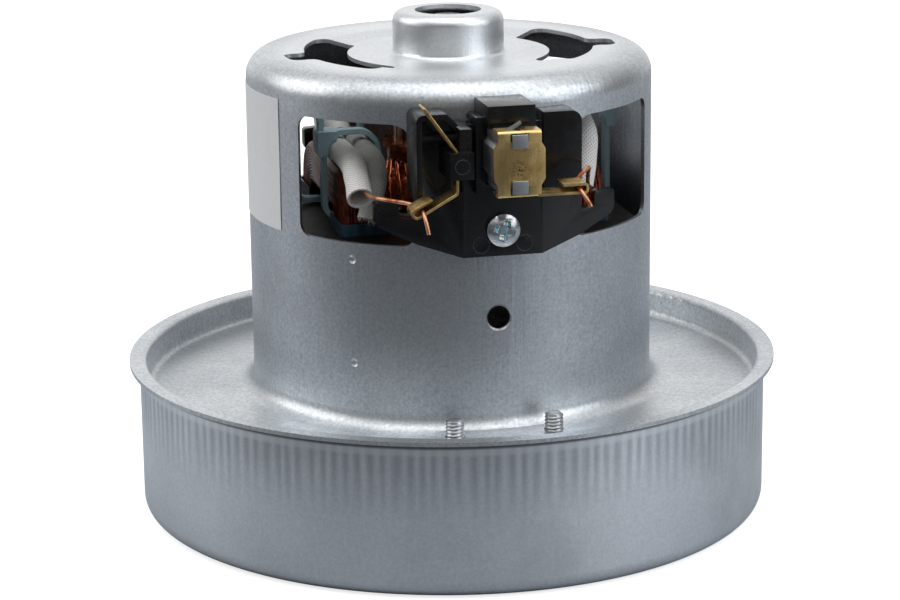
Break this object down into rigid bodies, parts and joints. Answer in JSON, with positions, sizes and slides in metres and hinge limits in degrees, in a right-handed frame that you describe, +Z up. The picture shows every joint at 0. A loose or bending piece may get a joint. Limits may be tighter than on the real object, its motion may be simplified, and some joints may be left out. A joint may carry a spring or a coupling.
{
  "type": "vacuum cleaner motor unit",
  "caption": "Universal motor in a drawn steel casing with brushes at the sides, driving a centrifugal impeller and diffuser inside a drawn fan cover.",
  "frame": {"origin": "centre of the air inlet's lowest face, on the surface the unit stands on", "axes": "+Z up along the shaft from the inlet to the closed boss; -Y through the front brush; +X to the right seen from the front brush"},
  "size_m": [0.135, 0.135, 0.1037],
  "materials": {
    "casing_steel": "galvanised deep-drawn sheet with fine vertical draw marks",
    "screw_steel": "zinc-plated screw",
    "tube_steel": "dull folded steel sheet",
    "impeller_aluminium": "pressed bare aluminium sheet",
    "diffuser_moulding": "black moulding",
    "shaft_steel": "ground steel",
    "bearing_steel": "polished bearing steel",
    "cage_moulding": "pale moulded bearing cage",
    "sleeve_rubber": "black rubber",
    "core_laminations": "stacked dark laminations",
    "liner_film": "blue insulating film",
    "coil_wire": "enamelled copper wire",
    "end_disc_fibre": "pressed fibre",
    "commutator_moulding": "dark moulding",
    "commutator_copper": "worn bare copper bars",
    "contact_brass": "pressed brass with a little tarnish",
    "carbon": "dull pressed carbon",
    "spring_steel": "bright spring wire",
    "shunt_copper": "braided bare copper",
    "holder_moulding": "black thermoset moulding with a soft sheen",
    "sleeve_braid": "white braided glass sleeve",
    "torn_braid": "greyed braided glass sleeve",
    "lead_copper": "bare copper lead",
    "tie_nylon": "teal nylon cable tie"
  },
  "bodies": {
    "motor_body": {"motor_casing": "casing_steel", "fan_cover": "casing_steel", "bearing_bridge": "casing_steel", "bridge_screws": "screw_steel", "holder_screws": "screw_steel", "brush_tube_front": "tube_steel", "brush_tube_rear": "tube_steel", "diffuser": "diffuser_moulding", "preload_washer": "shaft_steel", "lower_bearing_outer_ring": "bearing_steel", "lower_bearing_shields": "bearing_steel", "upper_bearing_outer_ring": "bearing_steel", "upper_bearing_shields": "bearing_steel", "bearing_sleeve": "sleeve_rubber", "stator_core": "core_laminations", "slot_liners_right": "liner_film", "slot_liners_left": "liner_film", "field_coil_right": "coil_wire", "field_coil_left": "coil_wire", "brush_cap_front": "contact_brass", "brush_cap_rear": "contact_brass", "power_terminal_front": "contact_brass", "power_terminal_rear": "contact_brass", "brush_spring_front": "spring_steel", "brush_spring_rear": "spring_steel", "brush_shunt_front": "shunt_copper", "brush_shunt_rear": "shunt_copper", "brush_holder_front": "holder_moulding", "brush_holder_rear": "holder_moulding", "terminal_lead_sleeves": "sleeve_braid", "brush_lead_sleeves": "sleeve_braid", "torn_lead_sleeves": "torn_braid", "terminal_leads": "lead_copper", "brush_leads": "lead_copper", "brush_side_ties": "tie_nylon", "terminal_side_ties": "tie_nylon"},
    "rotor": {"shaft": "shaft_steel", "armature_core": "core_laminations", "armature_end_discs": "end_disc_fibre", "armature_winding": "coil_wire", "commutator_hub": "commutator_moulding", "commutator_bars": "commutator_copper", "lower_bearing_inner_ring": "bearing_steel", "upper_bearing_inner_ring": "bearing_steel", "impeller_shroud": "impeller_aluminium", "impeller_blades": "impeller_aluminium", "impeller_back_plate": "impeller_aluminium", "impeller_spacer": "shaft_steel", "impeller_washer": "shaft_steel", "impeller_nut": "shaft_steel"},
    "lower_ball_set": {"lower_bearing_balls": "bearing_steel", "lower_bearing_cage": "cage_moulding"},
    "upper_ball_set": {"upper_bearing_balls": "bearing_steel", "upper_bearing_cage": "cage_moulding"},
    "front_brush": {"carbon_brush_front": "carbon"},
    "rear_brush": {"carbon_brush_rear": "carbon"}
  },
  "joints": [
    {"name": "rotor_spin", "type": "hinge", "parent": "motor_body", "child": "rotor", "pos_m": [0, 0, 0], "axis": [0, 0, 1], "continuous": true},
    {"name": "lower_ball_spin", "type": "hinge", "parent": "motor_body", "child": "lower_ball_set", "pos_m": [0, 0, 0], "axis": [0, 0, 1], "continuous": true},
    {"name": "upper_ball_spin", "type": "hinge", "parent": "motor_body", "child": "upper_ball_set", "pos_m": [0, 0, 0], "axis": [0, 0, 1], "continuous": true},
    {"name": "front_brush_slide", "type": "slide", "parent": "motor_body", "child": "front_brush", "axis": [0, -1, 0], "range_m": [0, 0.012], "stiffness_N_per_m": 200, "springref_m": -0.015, "deforming": ["brush_spring_front", "brush_shunt_front"]},
    {"name": "rear_brush_slide", "type": "slide", "parent": "motor_body", "child": "rear_brush", "axis": [0, 1, 0], "range_m": [0, 0.012], "stiffness_N_per_m": 200, "springref_m": -0.015, "deforming": ["brush_spring_rear", "brush_shunt_rear"]}
  ],
  "couplings": [
    {"joint": "lower_ball_spin", "follows": "rotor_spin", "ratio": 0.367},
    {"joint": "upper_ball_spin", "follows": "rotor_spin", "ratio": 0.3685}
  ]
}
